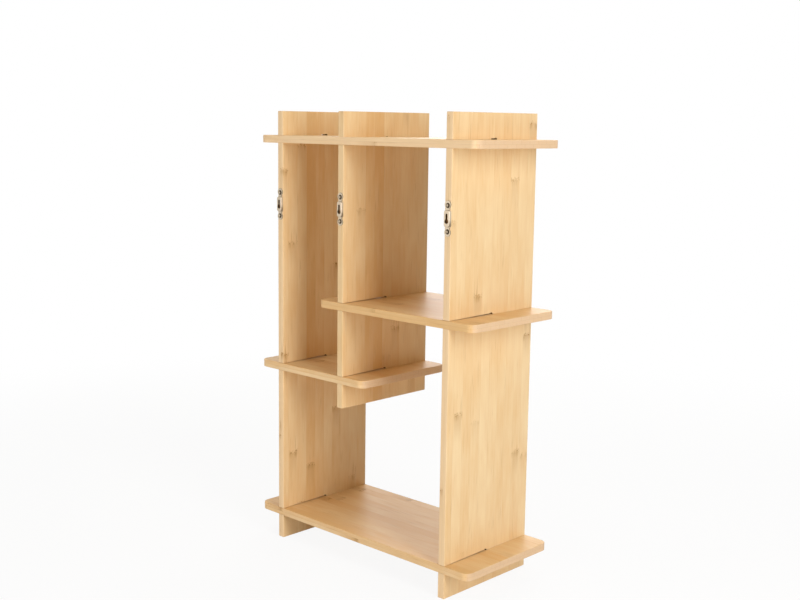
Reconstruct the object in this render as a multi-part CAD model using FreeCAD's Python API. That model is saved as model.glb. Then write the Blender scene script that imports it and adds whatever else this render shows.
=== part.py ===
import FreeCAD, Part
import math
import os

# Bamboo plant stand. Three upright boards and four shelves cross through each other in slots
# of half their depth. A steel keyhole hanger is screwed to the edge of each upright, so that
# the stand can also be hung on a wall.
# Sizes are in millimetres. +X runs along the shelves, +Z is up, and the hangers are on the -Y
# side, which is the rear. The origin is on the floor, in the middle of the overall width and
# depth.

# Boards
board_thickness = 12.0
board_depth = 190.0
arris_radius = 1.0
shelf_corner_radius = 12.0

# Clear spaces between the boards
left_bay_width = 127.0
right_bay_width = 204.0
bottom_bay_height = 233.0
shelf_step_height = 103.0
right_bay_height = 240.0

# Board ends that run on past the outermost joint
shelf_overhang = 44.0
upright_end = 38.0

# Slots. Those in the uprights are a little higher at their inner end than at their mouth. The
# milling cutter can't leave square inner corners, so it runs on past both walls at the inner
# end of each slot, and the square board that crosses there still closes up.
slot_mouth_play = 0.4
slot_inner_play = 1.8
slot_side_gap = 0.2
slot_end_gap = 0.6
cutter_radius = 2.8
relief_length = 6.0
relief_rise = 0.8

# Hangers, pressed from sheet, with a raised dish that the head of a wall screw slides behind.
# The lands are the flat metal left between an opening and the next edge.
sheet_thickness = 1.0
hanger_rise = 3.2
hanger_drop = 146.5
keyhole_radius = 3.4
keyhole_slot_width = 3.6
keyhole_travel = 9.0
dish_side_land = 0.6
dish_end_land = 3.5
dish_draft = 0.4
dish_rim = 0.6
dish_corner_radius = 3.4
dish_edge_radius = 0.7
eyelet_reach = 6.3
eyelet_land = 2.7
eyelet_tip = 1.1
neck_width = 7.6

# Screws that hold the hangers
screw_radius = 1.5
screw_length = 14.0
screw_tip = 3.0
screw_head_radius = 2.9
screw_head_height = 1.9
screw_head_rim = 0.5
screw_hole_gap = 0.2
recess_arm = 1.8
recess_root = 0.7
recess_width = 0.9
recess_depth = 1.2
pilot_gap = 0.05
pilot_extra = 1.0

# How far a cutting shape reaches past the face that it cuts
cut_margin = 2.0

X_AXIS = FreeCAD.Vector(1, 0, 0)
Z_AXIS = FreeCAD.Vector(0, 0, 1)
ORIGIN = FreeCAD.Vector(0, 0, 0)
SAME = 0.001
QUARTER_TURN = 90

# Hanger sizes that follow from the keyhole and the screws
keyhole_length = keyhole_radius + keyhole_travel + keyhole_slot_width / 2
dish_width = 2 * (keyhole_radius + dish_side_land + dish_draft + sheet_thickness)
dish_length = keyhole_length + 2 * (dish_end_land + dish_draft + sheet_thickness)
eyelet_radius = screw_head_radius + eyelet_land
eyelet_spacing = dish_length + 2 * eyelet_reach
hanger_proud = max(hanger_rise, sheet_thickness + screw_head_height)

# Depth: the hangers stand proud of the rear edges
y_rear = (hanger_proud - board_depth) / 2
y_front = y_rear + board_depth
y_middle = y_rear + board_depth / 2

# Left face of each upright
overall_width = left_bay_width + right_bay_width + 3 * board_thickness + 2 * shelf_overhang
x_left = shelf_overhang - overall_width / 2
x_middle = x_left + board_thickness + left_bay_width
x_right = x_middle + board_thickness + right_bay_width

# Underside of each shelf, and the ends of the uprights
z_bottom = upright_end
z_left = z_bottom + board_thickness + bottom_bay_height
z_right = z_left + board_thickness + shelf_step_height
z_top = z_right + board_thickness + right_bay_height
z_upright_top = z_top + board_thickness + upright_end
z_middle_foot = z_left - upright_end
z_hanger = z_upright_top - hanger_drop

# Each upright's left face and foot, and each shelf's underside and the uprights it crosses
uprights = {"left": (x_left, 0.0), "middle": (x_middle, z_middle_foot), "right": (x_right, 0.0)}
shelves = {
    "top": (z_top, ("left", "middle", "right")),
    "right": (z_right, ("middle", "right")),
    "left": (z_left, ("left", "middle")),
    "bottom": (z_bottom, ("left", "right")),
}
# Shelves lie on the lower walls of their slots, but the middle upright hangs on the top shelf
hung_joint = ("middle", "top")
screw_offsets = {"upper": eyelet_spacing / 2, "lower": -eyelet_spacing / 2}


def runs_along(edge, axis):
    """Whether a straight edge is parallel to an axis."""
    return abs(edge.tangentAt(edge.FirstParameter).cross(axis).Length) < SAME


def rounded_rectangle(width, length, radius, z):
    """Outline across X and along Y, centred on the Z axis, with round corners."""
    across = width - 2 * radius
    along = length - 2 * radius
    core = Part.makePlane(across, along, FreeCAD.Vector(-across / 2, -along / 2, z))
    return core.OuterWire.makeOffset2D(radius)


def box_between(low, high):
    """Box with two opposite corners at the points given."""
    size = high - low
    return Part.makeBox(size.x, size.y, size.z, low)


def relief(low, high, walls, axis):
    """Round-cornered cut along an axis, between two corners and on past both walls of a slot."""
    past = relief_rise * walls
    block = box_between(low - past, high + past)
    return block.makeFillet(cutter_radius, [e for e in block.Edges if runs_along(e, axis)])


def on_rear_edge(shape, x, z):
    """Turns a shape built upwards from the XY plane to stand out from an upright's rear edge."""
    turned = shape.copy()
    turned.rotate(ORIGIN, X_AXIS, QUARTER_TURN)
    turned.translate(FreeCAD.Vector(x, y_rear, z))
    return turned


def edge_centre(name):
    """Middle of an upright's thickness."""
    return uprights[name][0] + board_thickness / 2


def upright_slot(x, z, hung):
    """Slot for a shelf, level on the side that bears on it and sloping away on the other."""
    mouth = y_rear - cut_margin
    inner = y_middle + slot_end_gap
    slope = (slot_inner_play - slot_mouth_play) / (inner - y_rear)
    mouth_play = slot_inner_play - slope * (inner - mouth)
    near, far = x - cut_margin, x + board_thickness + cut_margin
    bearing, sloping, away = (z + board_thickness, z, -1) if hung else (z, z + board_thickness, 1)
    inner_wall = sloping + away * slot_inner_play
    corners = [
        FreeCAD.Vector(near, mouth, bearing),
        FreeCAD.Vector(near, inner, bearing),
        FreeCAD.Vector(near, inner, inner_wall),
        FreeCAD.Vector(near, mouth, sloping + away * mouth_play),
    ]
    slot = Part.Face(Part.makePolygon(corners, True)).extrude((far - near) * X_AXIS)
    low = FreeCAD.Vector(near, inner - relief_length, min(bearing, inner_wall))
    high = FreeCAD.Vector(far, inner, max(bearing, inner_wall))
    return slot.fuse(relief(low, high, Z_AXIS, X_AXIS))


def upright(name):
    """Upright board, slotted from its rear edge for each shelf, with pilot holes for a hanger."""
    x, foot = uprights[name]
    height = z_upright_top - foot
    board = Part.makeBox(board_thickness, board_depth, height, FreeCAD.Vector(x, y_rear, foot))
    board = board.makeFillet(arris_radius, board.Edges)
    for shelf_name, (z, crossed) in shelves.items():
        if name in crossed:
            board = board.cut(upright_slot(x, z, (name, shelf_name) == hung_joint))
    pilot_depth = screw_length + pilot_extra
    pilot = Part.makeCylinder(
        screw_radius + pilot_gap, pilot_depth + cut_margin, FreeCAD.Vector(0, 0, -pilot_depth)
    )
    for offset in screw_offsets.values():
        board = board.cut(on_rear_edge(pilot, edge_centre(name), z_hanger + offset))
    return board


def shelf_slot(x, z):
    """Slot for an upright, with straight walls."""
    inner = y_middle - slot_end_gap
    below, above = z - cut_margin, z + board_thickness + cut_margin
    left_wall, right_wall = x - slot_side_gap, x + board_thickness + slot_side_gap
    low = FreeCAD.Vector(left_wall, inner, below)
    slot = box_between(low, FreeCAD.Vector(right_wall, y_front + cut_margin, above))
    high = FreeCAD.Vector(right_wall, inner + relief_length, above)
    return slot.fuse(relief(low, high, X_AXIS, Z_AXIS))


def shelf(name):
    """Shelf with round corners, slotted from its front edge for each upright that it crosses."""
    z, crossed = shelves[name]
    start = uprights[crossed[0]][0] - shelf_overhang
    end = uprights[crossed[-1]][0] + board_thickness + shelf_overhang
    outline = rounded_rectangle(end - start, board_depth, shelf_corner_radius, 0.0)
    board = Part.Face(outline).extrude(board_thickness * Z_AXIS)
    rims = [e for e in board.Edges if not runs_along(e, Z_AXIS)]
    board = board.makeFillet(arris_radius, rims)
    board.translate(FreeCAD.Vector((start + end) / 2, y_middle, z))
    for upright_name in crossed:
        board = board.cut(shelf_slot(uprights[upright_name][0], z))
    return board


def dish(inset, height):
    """Tapered dish as high as given, with its outline drawn in by inset all round."""
    drawn = inset + dish_draft
    foot = rounded_rectangle(
        dish_width - 2 * inset, dish_length - 2 * inset, dish_corner_radius - inset, 0.0
    )
    face = rounded_rectangle(
        dish_width - 2 * drawn, dish_length - 2 * drawn, dish_corner_radius - drawn, height
    )
    return Part.makeLoft([foot, face], True, True)


def keyhole():
    """Round entry for a screw's head, and a slot up from it for the screw's neck."""
    depth = sheet_thickness + 2 * cut_margin
    floor = hanger_rise - sheet_thickness - cut_margin
    entry_y = keyhole_radius - keyhole_length / 2
    slot_radius = keyhole_slot_width / 2
    entry = Part.makeCylinder(keyhole_radius, depth, FreeCAD.Vector(0, entry_y, floor))
    corner = FreeCAD.Vector(-slot_radius, entry_y, floor)
    slot = Part.makeBox(keyhole_slot_width, keyhole_travel, depth, corner)
    slot_end = FreeCAD.Vector(0, entry_y + keyhole_travel, floor)
    return entry.fuse([slot, Part.makeCylinder(slot_radius, depth, slot_end)])


def hanger():
    """Pressed hanger: two eyelets, a rim, and a hollow dish with the keyhole in its face."""
    rim = rounded_rectangle(
        dish_width + 2 * dish_rim, dish_length + 2 * dish_rim, dish_corner_radius + dish_rim, 0.0
    )
    plate = Part.Face(rim).extrude(sheet_thickness * Z_AXIS)
    corner = FreeCAD.Vector(-neck_width / 2, -eyelet_spacing / 2, 0)
    neck = Part.makeBox(neck_width, eyelet_spacing, sheet_thickness, corner)
    raised = dish(0.0, hanger_rise)
    face_edges = [e for e in raised.Edges if e.BoundBox.ZMin > hanger_rise - SAME]
    raised = raised.makeFillet(dish_edge_radius, face_edges)
    bodies = [neck, raised]
    holes = [dish(sheet_thickness, hanger_rise - sheet_thickness), keyhole()]
    for offset in screw_offsets.values():
        centre = FreeCAD.Vector(0, offset, 0)
        past_screw = FreeCAD.Vector(0, math.copysign(eyelet_tip, offset), 0)
        bodies.append(Part.makeCylinder(eyelet_radius, sheet_thickness, centre + past_screw))
        holes.append(Part.makeCylinder(screw_radius + screw_hole_gap, sheet_thickness, centre))
    return plate.fuse(bodies).cut(holes).removeSplitter()


def cross_recess(crown):
    """Cutting shape for a driver: two crossed slots that narrow towards their floor."""
    floor = crown - recess_depth
    reach = recess_depth + cut_margin
    flare = (recess_arm - recess_root) / recess_depth
    wide = recess_root + flare * reach
    slots = []
    for length, width in ((2 * wide, recess_width), (recess_width, 2 * wide)):
        corner = FreeCAD.Vector(-length / 2, -width / 2, floor)
        slots.append(Part.makeBox(length, width, reach, corner))
    taper = Part.makeCone(recess_root, wide, reach, FreeCAD.Vector(0, 0, floor))
    return slots[0].fuse(slots[1]).common(taper)


def screw():
    """Domed screw with a cross recess and a pointed shank, its head seated on the hanger."""
    seat = sheet_thickness
    crown = seat + screw_head_height
    rim = seat + screw_head_rim
    dome_height = crown - rim
    dome_radius = (screw_head_radius**2 + dome_height**2) / (2 * dome_height)
    half_way = screw_head_radius / 2
    dome_drop = dome_radius - math.sqrt(dome_radius**2 - half_way**2)
    corners = [
        FreeCAD.Vector(0, 0, crown),
        FreeCAD.Vector(0, 0, -screw_length),
        FreeCAD.Vector(screw_radius, 0, screw_tip - screw_length),
        FreeCAD.Vector(screw_radius, 0, seat),
        FreeCAD.Vector(screw_head_radius, 0, seat),
        FreeCAD.Vector(screw_head_radius, 0, rim),
    ]
    edges = [Part.LineSegment(a, b).toShape() for a, b in zip(corners, corners[1:])]
    on_dome = FreeCAD.Vector(half_way, 0, crown - dome_drop)
    edges.append(Part.Arc(corners[-1], on_dome, corners[0]).toShape())
    body = Part.Face(Part.Wire(edges)).revolve(ORIGIN, Z_AXIS, 4 * QUARTER_TURN)
    return body.cut(cross_recess(crown))


def save(node, shape):
    """Writes one piece, as a single solid, to its own file."""
    shape.Solids[0].exportStep("parts/" + node + ".step")


os.makedirs("parts", exist_ok=True)
for shelf_name in shelves:
    save(shelf_name + "_shelf", shelf(shelf_name))
hanger_shape = hanger()
screw_shape = screw()
for upright_name in uprights:
    centre_x = edge_centre(upright_name)
    save(upright_name + "_upright", upright(upright_name))
    save(upright_name + "_hanger", on_rear_edge(hanger_shape, centre_x, z_hanger))
    for level, offset in screw_offsets.items():
        placed = on_rear_edge(screw_shape, centre_x, z_hanger + offset)
        save(upright_name + "_" + level + "_screw", placed)
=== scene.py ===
"""Looks of a slot-together bamboo plant stand, laid out as an add-on and run as a script."""

import math
from typing import NamedTuple

import bpy
from mathutils import Matrix, Vector


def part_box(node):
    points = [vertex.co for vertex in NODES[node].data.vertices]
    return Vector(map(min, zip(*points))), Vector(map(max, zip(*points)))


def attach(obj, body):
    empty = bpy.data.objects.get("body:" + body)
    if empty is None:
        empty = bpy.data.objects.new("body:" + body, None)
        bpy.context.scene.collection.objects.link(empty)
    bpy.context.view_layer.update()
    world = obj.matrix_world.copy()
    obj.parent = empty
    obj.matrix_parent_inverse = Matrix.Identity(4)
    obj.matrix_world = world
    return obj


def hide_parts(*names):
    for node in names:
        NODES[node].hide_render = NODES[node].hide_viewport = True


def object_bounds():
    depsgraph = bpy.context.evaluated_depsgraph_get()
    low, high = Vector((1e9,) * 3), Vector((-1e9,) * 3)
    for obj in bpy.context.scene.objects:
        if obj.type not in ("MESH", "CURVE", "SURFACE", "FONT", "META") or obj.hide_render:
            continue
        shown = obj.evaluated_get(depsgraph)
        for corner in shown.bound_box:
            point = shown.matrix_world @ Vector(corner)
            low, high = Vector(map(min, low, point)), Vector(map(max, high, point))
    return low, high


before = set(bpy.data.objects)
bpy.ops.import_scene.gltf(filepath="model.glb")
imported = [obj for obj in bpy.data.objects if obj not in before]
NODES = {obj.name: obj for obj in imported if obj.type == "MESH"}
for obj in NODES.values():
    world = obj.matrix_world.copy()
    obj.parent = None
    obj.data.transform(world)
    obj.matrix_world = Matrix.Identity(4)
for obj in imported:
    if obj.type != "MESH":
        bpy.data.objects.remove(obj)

bl_info = {
    "name": "Bamboo Plant Stand",
    "version": (1, 0, 0),
    "blender": (4, 5, 0),
    "location": "3D View > Sidebar > Plant Stand",
    "description": "Finishes the boards, hangers and screws of a bamboo plant stand",
    "category": "Add Mesh",
}

CAD_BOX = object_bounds()
SHELVES = sorted(name for name in NODES if name.endswith("_shelf"))
UPRIGHTS = sorted(name for name in NODES if name.endswith("_upright"))
HANGERS = sorted(name for name in NODES if name.endswith("_hanger"))
SCREWS = sorted(name for name in NODES if name.endswith("_screw"))
WHITE = (1.0, 1.0, 1.0, 1.0)
QUARTER_TURN = math.pi / 2

# All boards have their depth, across their strips, along this axis
DEPTH_AXIS = 1


class BoardLook(NamedTuple):
    """What sets one board's bamboo apart from that of the others."""

    depth: float  # how much deeper in colour it is than the palest bamboo
    pale_edges: float  # how pale its long edges are
    seed: int  # where its random marks start


BOARD_LOOKS = {
    "left_upright": BoardLook(0.34, 0.75, 57),
    "middle_upright": BoardLook(0.36, 0.10, 31),
    "right_upright": BoardLook(0.22, 0.70, 47),
    "top_shelf": BoardLook(0.58, 0.85, 4),
    "right_shelf": BoardLook(0.72, 0.05, 3),
    "left_shelf": BoardLook(0.46, 0.30, 254),
    "bottom_shelf": BoardLook(0.60, 0.30, 237),
}
HANGER_SEED = 41
SCREW_SEED = 61

# Uprights whose slot for the top shelf closes on it, and lengths in metres: how far the slot's roof
# lies above the shelf at most before that, how far afterwards, and the step where it goes back up
FITTED_UPRIGHTS = ("left_upright", "right_upright")
OPEN_PLAY = 0.002
CLOSED_PLAY = 0.0001
STEP_LENGTH = 0.0005

# In their meshes, points closer than this are merged, a face counts as level from this part of its
# normal, and edges flatter than this angle are shaded smooth
MERGE_DISTANCE = 0.000001
LEVEL = 0.99
SMOOTH_ANGLE = math.radians(30.0)

# Grain of the bamboo: lengths along the strips and widths across them, in metres
STREAK_LENGTH = 0.045
STREAK_WIDTH = 0.0034
FIBRE_LENGTH = 0.03
FIBRE_WIDTH = 0.0009
HAIR_LENGTH = 0.04
HAIR_WIDTH = 0.0013
PATCH_LENGTH = 0.05
PATCH_WIDTH = 0.012
CLOUD_LENGTH = 0.07
CLOUD_WIDTH = 0.025
GLUE_WIDTH = 0.00035
GLUE_REACH = 0.0007
BUNDLE_SIZE = 0.0011

# Knots of the cane: how their line bows and wavers, and the sizes of their marks, in metres
KNOT_SHIFT = 0.6
KNOT_BOW = 0.006
KNOT_WAVER = 0.007
LEAST_BOW = -0.3
WAVER_WIDTH = 0.005
DOT_SIZE = 0.0028
BLOB_SIZE = 0.007

# Where the marks of a knot begin and end along the strip, in metres from the knot's line
DOT_FALL = (0.00135, 0.0045)
STAIN_RISE = (-0.012, -0.002)
STAIN_FALL = (-0.002, 0.0045)
TAIL_RISE = (-0.05, -0.004)
TAIL_FALL = (-0.004, 0.003)
PIN_RISE = (-0.004, 0.004)
PIN_FALL = (0.006, 0.04)

# Other places on a board, in metres: the rim that saw cuts don't reach, and half the height and
# width of the painted shade behind a keyhole
RIM = (0.008, 0.010)
KEYHOLE_SHADE_HEIGHT = (0.0095, 0.0100)
KEYHOLE_SHADE_WIDTH = (0.0038, 0.0042)

# Noise values and random numbers over which a mark comes in
HAIR_RANGE = (0.06, 0.21)
PATCH_RANGE = (0.0, 0.22)
BUNDLE_RANGE = (0.0, 0.16)
DOT_RANGE = (0.02, 0.14)
BLOB_RANGE = (-0.10, 0.14)
TAIL_SIDES = (0.6, 1.0)
STRONG_KNOTS = (0.40, 0.82)
DARK_STRIPS = (0.80, 0.90)

# Part of a normal along an axis over which a face counts as facing that way
FACING = (0.5, 0.9)

# Detail of the noise
SMOOTH = 1.0
PLAIN = 2.0
FINE = 3.0

# Sockets of a Mix node for colours, by number, because those for other values have the same names
MIX_AMOUNT = 0
MIX_FIRST = 6
MIX_SECOND = 7
MIX_RESULT = 2

# Steps that give each strip, layer, board and knot its own part of the noise
LAYER_STAGGER = 0.43
BOARD_STAGGER = 0.61
STRIP_STEP = 7.3
BOARD_STEP = 3.1
KNOT_STEP = 11.0

# Share of each mark in the change from pale to honey
STRIP_TONE = 0.22
DARK_STRIP_TONE = 0.35
CLOUD_TONE = 1.05
STREAK_TONE = 0.48
FIBRE_TONE = 0.32

# Share of each mark in the colours of the edges, the ends, the brown lines and the painted shade
# in the cuts
EDGE_STREAK = 0.5
EDGE_FIBRE = 0.4
END_BUNDLES = 0.45
END_PALENESS = 0.85
DOT_BROWN = 0.58
STAIN_BROWN = 0.44
TAIL_BROWN = 0.24
PATCH_BROWN = 0.30
PIN_BROWN = 0.38
GLUE_BROWN = 0.08
END_GLUE_BROWN = 0.20
SEAM_BROWN = 0.16
SLOT_SHADE_DARKNESS = 0.9

# Polish and relief of the lacquer
LACQUER_GLOSS = 0.3
STREAK_ROUGHNESS = 0.16
END_ROUGHNESS = 0.10
CUT_ROUGHNESS = 0.50
STREAK_HEIGHT = 0.5
FIBRE_HEIGHT = 0.5
DOT_DEPTH = 0.4
GLUE_DEPTH = 0.5
GRAIN_STRENGTH = 0.10
GRAIN_HEIGHT = 0.0003

# Nickel plate: sizes of its clouds and drawn lines, in metres
TARNISH_SIZE = 0.003
DRAWN_WIDTH = 0.0003
DRAWN_LENGTH = 0.004

# Where a highlight is painted on the dish's wall, in metres aside from and above the hanger's
# middle, and how far that wall faces aside
HIGHLIGHT_ASIDE = (0.0037, 0.0042)
HIGHLIGHT_RISE = (-0.008, 0.002)
HIGHLIGHT_FALL = (0.0118, 0.0124)
HIGHLIGHT_FACING = (0.1, 0.4)

# Part of a normal to the front or rear at which the plate counts as bent, and to the front at which
# it counts as hidden
BENT_FACING = (0.25, 0.85)
HIDDEN_FACING = (-0.1, 0.2)

# The painted shade round a screw, in metres from its middle, and where it is darker on one side
RING_RISE = (0.0012, 0.0025)
RING_FALL = (0.0030, 0.0046)
RING_SIDES = (-0.002, 0.002)

# Share of each mark in the tarnish and painted shade, the polish and the relief of the plate
BEND_SHADE = 0.50
HIDDEN_SHADE = 0.6
CLOUD_TARNISH = 0.5
RING_SHADE = 0.7
RING_SIDE_SHADE = 0.4
CLOUD_ROUGHNESS = 0.20
DRAWN_ROUGHNESS = 0.10
TARNISH_AND_SHADE_ROUGHNESS = 0.15
DRAWN_STRENGTH = 0.06
DRAWN_HEIGHT = 0.0001

# Soft lights: place, width and height, in metres
LIGHTS = {
    "key_light": ((1.95, -0.45, 1.15), 0.75, 1.9),
    "fill_light": ((-0.07, -2.1, 0.55), 2.6, 1.1),
    "top_light": ((0.0, 0.0, 2.35), 1.5, 1.5),
    "back_light": ((-0.9, 1.6, 1.3), 1.5, 1.5),
}

# Floor: sizes in metres, how much of its own shade shows near the stand, and the square of the
# distance over which that fades
FLOOR_RADIUS = 14.0
FLOOR_SIDES = 64
FLOOR_GAP = 0.0002
FLOOR_SHADE = 0.09
FLOOR_FADE = (0.2, 3.0)


def length_setting(name, description, default):
    return bpy.props.FloatProperty(
        name=name, description=description, default=default, min=0.0, unit="LENGTH"
    )


def share_setting(name, description, default):
    return bpy.props.FloatProperty(
        name=name, description=description, default=default, min=0.0, max=1.0, subtype="FACTOR"
    )


def colour_setting(name, description, default):
    return bpy.props.FloatVectorProperty(
        name=name, description=description, default=default, min=0.0, max=1.0, subtype="COLOR"
    )


def power_setting(name, description, default):
    return bpy.props.FloatProperty(
        name=name, description=description, default=default, min=0.0, unit="POWER"
    )


class BambooSettings(bpy.types.PropertyGroup):
    """Sizes and colours of the laminated bamboo boards."""

    strip_width: length_setting("Strip width", "Width of one glued strip", 0.0196)
    knot_spacing: length_setting("Knot spacing", "From one knot of the cane to the next", 0.30)
    pale: colour_setting("Pale strips", "Colour of the palest strips", (0.902, 0.690, 0.408))
    honey: colour_setting("Honey strips", "Colour of the darkest strips", (0.790, 0.500, 0.220))
    knot: colour_setting("Knots", "Colour of the marks at the knots", (0.44, 0.22, 0.06))
    edge: colour_setting("Edges", "Colour of the sanded long edges", (0.930, 0.680, 0.415))
    end: colour_setting("Ends", "Colour of the sanded end grain", (0.760, 0.545, 0.360))
    # Cuts: colour of the painted shade in the slots' saw cuts and behind the keyholes
    cut: colour_setting("Cuts", "Colour of the bare saw cuts in the slots", (0.24, 0.11, 0.03))
    roughness: share_setting("Roughness", "Roughness of the satin lacquer", 0.45)


class SteelSettings(bpy.types.PropertyGroup):
    """Colour and polish of the nickel-plated steel."""

    nickel: colour_setting("Nickel", "Colour of the flat plating", (0.49, 0.40, 0.29))
    # Tarnish: colour of the tarnish clouds and of the painted shade on bends and round screws
    tarnish_and_shade: colour_setting("Tarnish", "Colour of the bends and recesses", (0.07, 0.05, 0.03))
    # Bright: colour of the painted highlight on the dish's wall
    bright: colour_setting("Bright", "Colour of the rubbed walls", (0.70, 0.61, 0.49))
    roughness: share_setting("Roughness", "Roughness of the plating", 0.45)


class StageSettings(bpy.types.PropertyGroup):
    """Camera, lights and floor."""

    camera_place: bpy.props.FloatVectorProperty(
        name="Camera place",
        description="Where the camera stands",
        default=(1.2261, -1.2901, 0.68205),
        subtype="TRANSLATION",
        unit="LENGTH",
    )
    camera_turn: bpy.props.FloatVectorProperty(
        name="Camera turn",
        description="Turn to the left of the view along +Y, tilt down and roll",
        default=(math.radians(43.56), math.radians(8.70), math.radians(0.77)),
        subtype="EULER",
        unit="ROTATION",
    )
    lens: bpy.props.FloatProperty(
        name="Lens",
        description="Focal length",
        default=51.75,
        min=1.0,
        subtype="DISTANCE_CAMERA",
        unit="CAMERA",
    )
    key_light: power_setting("Key light", "Power of the light on the right", 30.0)
    fill_light: power_setting("Fill light", "Power of the light in front", 19.0)
    top_light: power_setting("Top light", "Power of the light overhead", 12.5)
    back_light: power_setting("Back light", "Power of the light behind", 18.0)
    ambient: colour_setting("Ambient light", "Light from all round", (0.125, 0.100, 0.065))
    floor: colour_setting("Floor", "Colour of the floor", (0.92, 0.92, 0.92))


class Signal:
    """A shader socket that takes part in sums, each of which adds a Math node."""

    def __init__(self, tree, socket=None):
        self.tree = tree
        self.socket = socket

    def node(self, kind, settings=None, sockets=None, output=0):
        """Adds a node: first its settings, then the values or links of its sockets."""
        made = self.tree.nodes.new(kind)
        for name, value in (settings or {}).items():
            setattr(made, name, value)
        for name, value in (sockets or {}).items():
            if isinstance(value, Signal):
                self.tree.links.new(value.socket, made.inputs[name])
            else:
                made.inputs[name].default_value = value
        return Signal(self.tree, made.outputs[output] if made.outputs else None)

    def math(self, operation, *terms):
        """A Math node with these terms, each a signal or a number."""
        return self.node("ShaderNodeMath", {"operation": operation}, dict(enumerate(terms)))

    def __add__(self, other):
        return self.math("ADD", self, other)

    __radd__ = __add__

    def __sub__(self, other):
        return self.math("SUBTRACT", self, other)

    def __rsub__(self, other):
        return self.math("SUBTRACT", other, self)

    def __mul__(self, other):
        return self.math("MULTIPLY", self, other)

    __rmul__ = __mul__

    def __truediv__(self, other):
        return self.math("DIVIDE", self, other)

    def __gt__(self, other):
        return self.math("GREATER_THAN", self, other)

    def __lt__(self, other):
        return self.math("LESS_THAN", self, other)

    def __abs__(self):
        return self.math("ABSOLUTE", self)

    def __floor__(self):
        return self.math("FLOOR", self)

    def rise(self, low, high):
        """0 below low, 1 above high, and a smooth rise between them."""
        settings = {"interpolation_type": "SMOOTHSTEP"}
        sockets = {"Value": self, "From Min": low, "From Max": high}
        return self.node("ShaderNodeMapRange", settings, sockets)

    def fall(self, low, high):
        """1 below low, 0 above high, and a smooth fall between them."""
        return 1.0 - self.rise(low, high)

    def vector(self, x, y, z):
        return self.node("ShaderNodeCombineXYZ", None, {"X": x, "Y": y, "Z": z})

    def parts(self):
        """The three numbers of a vector or colour."""
        return [self.node("ShaderNodeSeparateXYZ", None, {0: self}, axis) for axis in range(3)]

    def noise(self, x, y, z, detail=PLAIN):
        """Smooth noise about 0, with features about one unit across."""
        sockets = {"Vector": self.vector(x, y, z), "Scale": 1.0, "Detail": detail}
        return self.node("ShaderNodeTexNoise", None, sockets) - 0.5

    def chance(self, x, y, z):
        """Three random numbers from 0 to 1 for each set of whole numbers."""
        sockets = {"Vector": self.vector(x, y, z)}
        return self.node("ShaderNodeTexWhiteNoise", None, sockets, "Color").parts()

    def blend(self, amount, first, second):
        """One colour turned into another by an amount from 0 to 1."""
        sockets = {MIX_AMOUNT: amount, MIX_FIRST: first, MIX_SECOND: second}
        return self.node("ShaderNodeMix", {"data_type": "RGBA"}, sockets, MIX_RESULT)


def new_material(name):
    """An empty material and the start of its shader."""
    material = bpy.data.materials.new(name)
    material.use_nodes = True
    material.node_tree.nodes.clear()
    return material, Signal(material.node_tree)


def opaque(colour):
    """A colour with the alpha that a colour socket takes."""
    return (*colour, 1.0)


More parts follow.
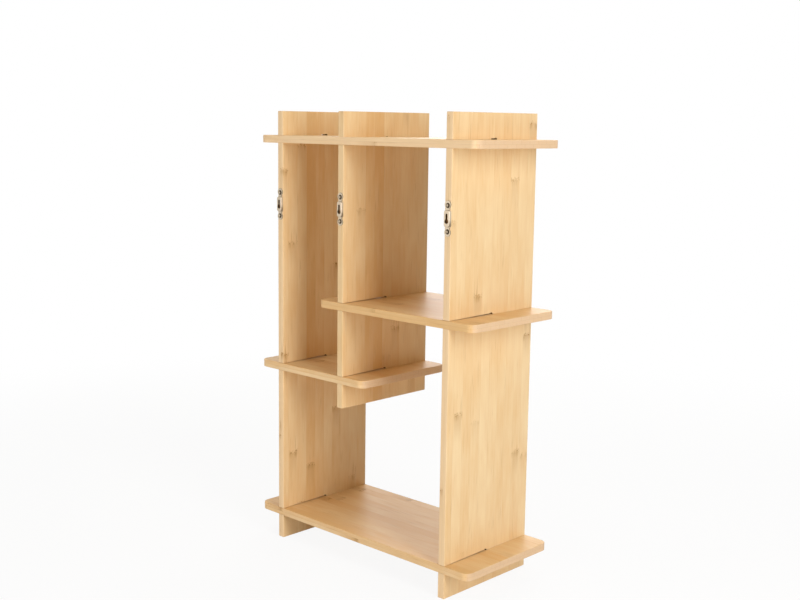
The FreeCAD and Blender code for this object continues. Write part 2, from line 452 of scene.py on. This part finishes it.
class Grain:
    """Places along, across and through a board's strips, and random numbers of each strip."""

    def __init__(self, shader, board, grain_axis, seed, strip_width):
        low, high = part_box(board)
        middle = (low + high) / 2
        half = (high - low) / 2
        place = shader.node("ShaderNodeTexCoord", None, None, "Object").parts()
        normal = shader.node("ShaderNodeNewGeometry", None, None, "Normal").parts()
        along = "XYZ".index(grain_axis)
        through = "ZYX".index(grain_axis)
        self.shader = shader
        self.seed = seed
        self.along = place[along]
        self.across = place[DEPTH_AXIS]
        self.through = place[through] - middle[through]
        self.end = abs(normal[along]).rise(*FACING)
        self.edge = abs(normal[DEPTH_AXIS]).rise(*FACING)
        # The slots' saw cuts lie inside the board's rim and face neither of its sides, and shade is
        # painted on them
        from_end = half[along] - abs(self.along - middle[along])
        from_edge = half[DEPTH_AXIS] - abs(self.across - middle[DEPTH_AXIS])
        inside = shader.math("MINIMUM", from_end, from_edge).rise(*RIM)
        self.cut = inside * abs(normal[through]).fall(*FACING)
        # Strips lie side by side in two layers, with their joints staggered
        self.layer = self.through > 0.0
        strips = self.across / strip_width + self.layer * LAYER_STAGGER + seed * BOARD_STAGGER
        self.strip = math.floor(strips)
        self.side = (strips - self.strip) * 2.0 - 1.0
        self.glue = abs(self.side).rise(1.0 - GLUE_REACH / (strip_width / 2), 1.0)
        self.seam = abs(self.through).fall(GLUE_WIDTH / 2, GLUE_WIDTH)
        self.tone, self.phase, self.hue = shader.chance(self.strip, self.layer + seed, 0.0)

    def behind(self, hanger):
        """1 where shade is painted behind a hanger's keyhole, in the rear edge, and 0 elsewhere."""
        low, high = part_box(hanger)
        level = abs(self.along - (low.z + high.z) / 2).fall(*KEYHOLE_SHADE_HEIGHT)
        return level * abs(self.through).fall(*KEYHOLE_SHADE_WIDTH) * (self.across < 0.0) * self.edge

    def streaks(self, length, width, detail=PLAIN):
        """Noise drawn out along the grain, different in each strip."""
        start = self.strip * STRIP_STEP + self.seed * BOARD_STEP
        return self.shader.noise(
            self.along / length + start, self.across / width, self.through / width, detail
        )

    def bundles(self):
        """Ends of the fibre bundles, as specks on the sawn ends."""
        place = [part / BUNDLE_SIZE for part in (self.along, self.across, self.through)]
        return self.shader.noise(*place, SMOOTH).rise(*BUNDLE_RANGE)

    def knots(self, spacing):
        """Marks where the cane had a knot: broken dashes, smudges, a tail and dark pins."""
        shader = self.shader
        count = self.along / spacing + self.phase
        number = math.floor(count)
        draw = number + KNOT_STEP
        strength, shift, bow = shader.chance(self.strip, self.layer + self.seed, draw)
        waver = shader.noise(self.across / WAVER_WIDTH, self.strip, number)
        line = (count - number - 0.5 + (shift - 0.5) * KNOT_SHIFT) * spacing
        line = line + waver * KNOT_WAVER + self.side * self.side * (bow + LEAST_BOW) * KNOT_BOW
        specks = [part / DOT_SIZE for part in (self.across, self.through, self.along)]
        dots = shader.noise(*specks).rise(*DOT_RANGE) * abs(line).fall(*DOT_FALL)
        blobs = shader.noise(self.across / BLOB_SIZE, self.strip, number).rise(*BLOB_RANGE)
        stain = line.rise(*STAIN_RISE) * line.fall(*STAIN_FALL) * blobs
        tail = line.rise(*TAIL_RISE) * line.fall(*TAIL_FALL) * abs(self.side).fall(*TAIL_SIDES)
        pins = line.rise(*PIN_RISE) * line.fall(*PIN_FALL)
        strong = strength.rise(*STRONG_KNOTS)
        return [mark * strong for mark in (dots, stain, tail, pins)]


def bamboo_material(board, grain_axis):
    """Glued strips of bamboo under a satin lacquer, with shade painted in the slots and behind the
    keyhole.
    """
    look = bpy.context.scene.stand_bamboo
    depth, pale_edges, seed = BOARD_LOOKS[board]
    material, shader = new_material("bamboo_" + board)
    grain = Grain(shader, board, grain_axis, seed, look.strip_width)
    streak = grain.streaks(STREAK_LENGTH, STREAK_WIDTH, FINE)
    fibre = grain.streaks(FIBRE_LENGTH, FIBRE_WIDTH)
    cloud = grain.streaks(CLOUD_LENGTH, CLOUD_WIDTH)
    hairs = grain.streaks(HAIR_LENGTH, HAIR_WIDTH, SMOOTH).rise(*HAIR_RANGE)
    patch = grain.streaks(PATCH_LENGTH, PATCH_WIDTH, SMOOTH).rise(*PATCH_RANGE)
    dots, stain, tail, pins = grain.knots(look.knot_spacing)

    tone = depth + grain.tone * STRIP_TONE + grain.hue.rise(*DARK_STRIPS) * DARK_STRIP_TONE
    tone = tone + cloud * CLOUD_TONE + streak * STREAK_TONE + fibre * FIBRE_TONE
    colour = shader.blend(tone, opaque(look.pale), opaque(look.honey))
    sanded = grain.edge * (pale_edges - streak * EDGE_STREAK - fibre * EDGE_FIBRE)
    colour = shader.blend(sanded, colour, opaque(look.edge))
    sawn = shader.blend(grain.bundles() * END_BUNDLES, opaque(look.end), opaque(look.honey))
    colour = shader.blend(grain.end * END_PALENESS, colour, sawn)
    brown = dots * DOT_BROWN + stain * STAIN_BROWN + tail * TAIL_BROWN
    brown = brown + hairs * (patch * PATCH_BROWN + pins * PIN_BROWN) + grain.glue * GLUE_BROWN
    brown = brown * (1.0 - grain.end) + grain.glue * grain.end * END_GLUE_BROWN
    brown = brown + grain.seam * SEAM_BROWN
    colour = shader.blend(brown, colour, opaque(look.knot))
    # Painted shade in the slots' saw cuts
    painted_shade = grain.cut * SLOT_SHADE_DARKNESS
    # Painted shade behind the hanger's keyhole, on the rear edge
    hanger = board.replace("upright", "hanger")
    if hanger in HANGERS:
        painted_shade = painted_shade + grain.behind(hanger)
    colour = shader.blend(painted_shade, colour, opaque(look.cut))

    rough = look.roughness + streak * STREAK_ROUGHNESS
    rough = rough + grain.end * END_ROUGHNESS + grain.cut * CUT_ROUGHNESS
    height = streak * STREAK_HEIGHT + fibre * FIBRE_HEIGHT
    height = height - dots * DOT_DEPTH - grain.glue * GLUE_DEPTH
    relief = {"Strength": GRAIN_STRENGTH, "Distance": GRAIN_HEIGHT, "Height": height}
    bump = shader.node("ShaderNodeBump", None, relief)
    lacquer = shader.node(
        "ShaderNodeBsdfPrincipled",
        None,
        {
            "Base Color": colour,
            "Roughness": rough,
            "Normal": bump,
            "Specular IOR Level": LACQUER_GLOSS,
        },
    )
    shader.node("ShaderNodeOutputMaterial", None, {"Surface": lacquer})
    return material


def steel_material(piece, seed, screws):
    """Nickel plate, tarnished in clouds, with shade painted at its bends and round the screws'
    heads.
    """
    look = bpy.context.scene.stand_steel
    material, shader = new_material("nickel_" + piece)
    x, y, z = shader.node("ShaderNodeTexCoord", None, None, "Object").parts()
    normal = shader.node("ShaderNodeNewGeometry", None, None, "Normal").parts()
    clouds = [part / TARNISH_SIZE for part in (x, y, z)]
    cloud = shader.noise(clouds[0], clouds[1], clouds[2] + seed, FINE)
    drawn = shader.noise(x / DRAWN_WIDTH, y / DRAWN_WIDTH, z / DRAWN_LENGTH + seed)
    low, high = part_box(piece)
    middle = (low + high) / 2
    aside = x - middle.x
    above = z - middle.z
    # A highlight is painted on the dish's wall towards the wide bay, from just below its middle
    # upwards
    painted_highlight = aside.rise(*HIGHLIGHT_ASIDE) * normal[0].rise(*HIGHLIGHT_FACING)
    painted_highlight = painted_highlight * above.rise(*HIGHLIGHT_RISE) * above.fall(*HIGHLIGHT_FALL)
    # Painted shade on the plate's bends and walls, and on its hidden side
    bend_shade = abs(normal[1]).fall(*BENT_FACING) * (1.0 - painted_highlight)
    hidden_shade = normal[1].rise(*HIDDEN_FACING)
    tarnish_and_shade = bend_shade * BEND_SHADE + hidden_shade * HIDDEN_SHADE
    tarnish_and_shade = tarnish_and_shade + cloud * CLOUD_TARNISH * (1.0 - painted_highlight)
    for screw in screws:
        tarnish_and_shade = tarnish_and_shade + painted_screw_shade(shader, screw, x, z)
    tarnish_and_shade = tarnish_and_shade.rise(0.0, 1.0)
    colour = shader.blend(tarnish_and_shade, opaque(look.nickel), opaque(look.tarnish_and_shade))
    colour = shader.blend(painted_highlight, colour, opaque(look.bright))
    rough = look.roughness + cloud * CLOUD_ROUGHNESS
    rough = rough + drawn * DRAWN_ROUGHNESS + tarnish_and_shade * TARNISH_AND_SHADE_ROUGHNESS
    relief = {"Strength": DRAWN_STRENGTH, "Distance": DRAWN_HEIGHT, "Height": drawn}
    bump = shader.node("ShaderNodeBump", None, relief)
    plate = shader.node(
        "ShaderNodeBsdfPrincipled",
        None,
        {"Base Color": colour, "Metallic": 1.0, "Roughness": rough, "Normal": bump},
    )
    shader.node("ShaderNodeOutputMaterial", None, {"Surface": plate})
    return material


def painted_screw_shade(shader, screw, x, z):
    """Painted shade round a screw's head, deeper on the side of the wide bay."""
    low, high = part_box(screw)
    aside = x - (low.x + high.x) / 2
    above = z - (low.z + high.z) / 2
    distance = shader.math("SQRT", aside * aside + above * above)
    ring_shade = distance.rise(*RING_RISE) * distance.fall(*RING_FALL)
    return ring_shade * (RING_SHADE + aside.rise(*RING_SIDES) * RING_SIDE_SHADE)


def finish_piece(piece, material):
    """Puts a finish on a board, hanger or screw."""
    for slot in piece.material_slots:
        slot.material = material


def select_roof(piece, shelf_top, reach):
    """Selects the roof of the highest slot, from the slot's mouth as far as reach."""
    bpy.ops.mesh.select_all(action="DESELECT")
    bpy.ops.object.mode_set(mode="OBJECT")
    for face in piece.data.polygons:
        above = face.center.z - shelf_top
        level = face.normal.z < -LEVEL and 0.0 < above < OPEN_PLAY
        face.select = level and face.center.y < reach
    bpy.ops.object.mode_set(mode="EDIT")


def fitted_upright(name):
    """Copy of an upright, with the roof of its highest slot brought down on the top shelf."""
    piece = bpy.data.objects.new(name + "_fitted", NODES[name].data.copy())
    bpy.context.collection.objects.link(piece)
    bpy.ops.object.select_all(action="DESELECT")
    piece.select_set(True)
    bpy.context.view_layer.objects.active = piece
    low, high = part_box(name)
    thickness = high.x - low.x
    shelf_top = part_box("top_shelf")[1].z
    # The roof stays open at its inner end, along the last board's thickness of the slot
    open_from = (low.y + high.y) / 2 - thickness
    bpy.ops.mesh.customdata_custom_splitnormals_clear()
    bpy.ops.object.mode_set(mode="EDIT")
    bpy.ops.mesh.select_mode(type="FACE")
    bpy.ops.mesh.select_all(action="SELECT")
    bpy.ops.mesh.remove_doubles(threshold=MERGE_DISTANCE)
    for cut in (open_from - STEP_LENGTH, open_from):
        select_roof(piece, shelf_top, high.y)
        bpy.ops.mesh.bisect(plane_co=(0.0, cut, 0.0), plane_no=(0.0, 1.0, 0.0))
    select_roof(piece, shelf_top, open_from - STEP_LENGTH)
    closed = (0.0, 0.0, shelf_top + CLOSED_PLAY)
    bpy.ops.transform.resize(value=(1.0, 1.0, 0.0), center_override=closed)
    bpy.ops.object.mode_set(mode="OBJECT")
    bpy.ops.object.shade_smooth_by_angle(angle=SMOOTH_ANGLE)
    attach(piece, "root")
    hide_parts(name)
    return piece


class STAND_OT_shelves(bpy.types.Operator):
    """Finish the shelves in bamboo, with the grain along them"""

    bl_idname = "stand.shelves"
    bl_label = "Shelves"

    def execute(self, context):
        for name in SHELVES:
            finish_piece(NODES[name], bamboo_material(name, "X"))
        return {"FINISHED"}


class STAND_OT_uprights(bpy.types.Operator):
    """Finish the uprights in bamboo, with the grain up them"""

    bl_idname = "stand.uprights"
    bl_label = "Uprights"

    def execute(self, context):
        for name in UPRIGHTS:
            board = fitted_upright(name) if name in FITTED_UPRIGHTS else NODES[name]
            finish_piece(board, bamboo_material(name, "Z"))
        return {"FINISHED"}


class STAND_OT_hangers(bpy.types.Operator):
    """Finish the keyhole hangers in nickel plate"""

    bl_idname = "stand.hangers"
    bl_label = "Hangers"

    def execute(self, context):
        for seed, name in enumerate(HANGERS, HANGER_SEED):
            side = name.removesuffix("hanger")
            screws = [screw for screw in SCREWS if screw.startswith(side)]
            finish_piece(NODES[name], steel_material(name, seed, screws))
        return {"FINISHED"}


class STAND_OT_screws(bpy.types.Operator):
    """Finish the screws in nickel plate"""

    bl_idname = "stand.screws"
    bl_label = "Screws"

    def execute(self, context):
        for seed, name in enumerate(SCREWS, SCREW_SEED):
            finish_piece(NODES[name], steel_material(name, seed, [name]))
        return {"FINISHED"}


def soft_light(name, place, target, width, height, power):
    """A soft box that faces a target."""
    facing = (target - Vector(place)).to_track_quat("-Z", "Y").to_euler()
    bpy.ops.object.light_add(type="AREA", location=place, rotation=facing)
    light = bpy.context.object
    light.name = name
    light.data.shape = "RECTANGLE"
    light.data.size = width
    light.data.size_y = height
    light.data.energy = power


def seen_directly(shader):
    """1 for what is seen by the camera, in metal or through glass, and 0 for light."""
    camera = shader.node("ShaderNodeLightPath", None, None, "Is Camera Ray")
    outputs = camera.socket.node.outputs
    metal = Signal(shader.tree, outputs["Is Glossy Ray"])
    glass = Signal(shader.tree, outputs["Is Transmission Ray"])
    return camera.math("MAXIMUM", camera, camera.math("MAXIMUM", metal, glass))


class STAND_OT_stage(bpy.types.Operator):
    """Add the pale floor, the white surroundings, the soft lights and the camera"""

    bl_idname = "stand.stage"
    bl_label = "Stage"

    def execute(self, context):
        stage = context.scene.stand_stage
        low, high = CAD_BOX
        target = (Vector(low) + Vector(high)) / 2
        bpy.ops.object.select_all(action="DESELECT")
        self.add_floor(stage)
        self.add_surroundings(context.scene, stage)
        for name, (place, width, height) in LIGHTS.items():
            soft_light(name, place, target, width, height, getattr(stage, name))
        self.add_camera(context.scene, stage)
        context.scene.view_settings.view_transform = "Standard"
        return {"FINISHED"}

    def add_floor(self, stage):
        """A floor that looks white, with a little of its own shade near the stand."""
        bpy.ops.mesh.primitive_circle_add(
            vertices=FLOOR_SIDES,
            radius=FLOOR_RADIUS,
            fill_type="NGON",
            location=(0.0, 0.0, -FLOOR_GAP),
        )
        floor = bpy.context.object
        floor.name = "floor"
        material, shader = new_material("pale_floor")
        x, y, _ = shader.node("ShaderNodeTexCoord", None, None, "Object").parts()
        near = (x * x + y * y).fall(*FLOOR_FADE)
        plain = shader.node("ShaderNodeBsdfDiffuse", None, {"Color": opaque(stage.floor)})
        white = shader.node("ShaderNodeEmission", None, {"Color": WHITE, "Strength": 1.0})
        share = seen_directly(shader) * (1.0 - near * FLOOR_SHADE)
        mixed = shader.node("ShaderNodeMixShader", None, {0: share, 1: plain, 2: white})
        shader.node("ShaderNodeOutputMaterial", None, {"Surface": mixed})
        floor.data.materials.append(material)

    def add_surroundings(self, scene, stage):
        """Surroundings that look white and light the stand with the ambient colour."""
        scene.world = bpy.data.worlds.new("surroundings")
        scene.world.use_nodes = True
        scene.world.node_tree.nodes.clear()
        shader = Signal(scene.world.node_tree)
        colour = shader.blend(seen_directly(shader), opaque(stage.ambient), WHITE)
        around = shader.node("ShaderNodeBackground", None, {"Color": colour, "Strength": 1.0})
        shader.node("ShaderNodeOutputWorld", None, {"Surface": around})

    def add_camera(self, scene, stage):
        """The camera, turned to the left, tilted down and rolled from the view along +Y."""
        bpy.ops.object.camera_add()
        camera = bpy.context.object
        camera.name = "camera"
        turn, tilt, roll = stage.camera_turn
        camera.matrix_world = (
            Matrix.Translation(stage.camera_place)
            @ Matrix.Rotation(turn, 4, "Z")
            @ Matrix.Rotation(QUARTER_TURN - tilt, 4, "X")
            @ Matrix.Rotation(roll, 4, "Z")
        )
        camera.data.lens = stage.lens
        scene.camera = camera


class STAND_PT_panel(bpy.types.Panel):
    """Lists the finishes and the stage"""

    bl_idname = "STAND_PT_panel"
    bl_label = "Plant Stand"
    bl_space_type = "VIEW_3D"
    bl_region_type = "UI"
    bl_category = "Plant Stand"

    def draw(self, context):
        for name, group in SETTINGS.items():
            column = self.layout.column()
            for setting in group.__annotations__:
                column.prop(getattr(context.scene, name), setting)
        for operator in OPERATORS:
            self.layout.operator(operator.bl_idname)


SETTINGS = {
    "stand_bamboo": BambooSettings,
    "stand_steel": SteelSettings,
    "stand_stage": StageSettings,
}
OPERATORS = (
    STAND_OT_shelves,
    STAND_OT_uprights,
    STAND_OT_hangers,
    STAND_OT_screws,
    STAND_OT_stage,
)
CLASSES = (*SETTINGS.values(), *OPERATORS, STAND_PT_panel)


def register():
    for made in CLASSES:
        bpy.utils.register_class(made)
    for name, group in SETTINGS.items():
        setattr(bpy.types.Scene, name, bpy.props.PointerProperty(type=group))


def unregister():
    for name in SETTINGS:
        delattr(bpy.types.Scene, name)
    for made in reversed(CLASSES):
        bpy.utils.unregister_class(made)


def main():
    """Finishes the stand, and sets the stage."""
    register()
    bpy.ops.stand.shelves()
    bpy.ops.stand.uprights()
    bpy.ops.stand.hangers()
    bpy.ops.stand.screws()
    bpy.ops.stand.stage()


if __name__ == "__main__":
    main()
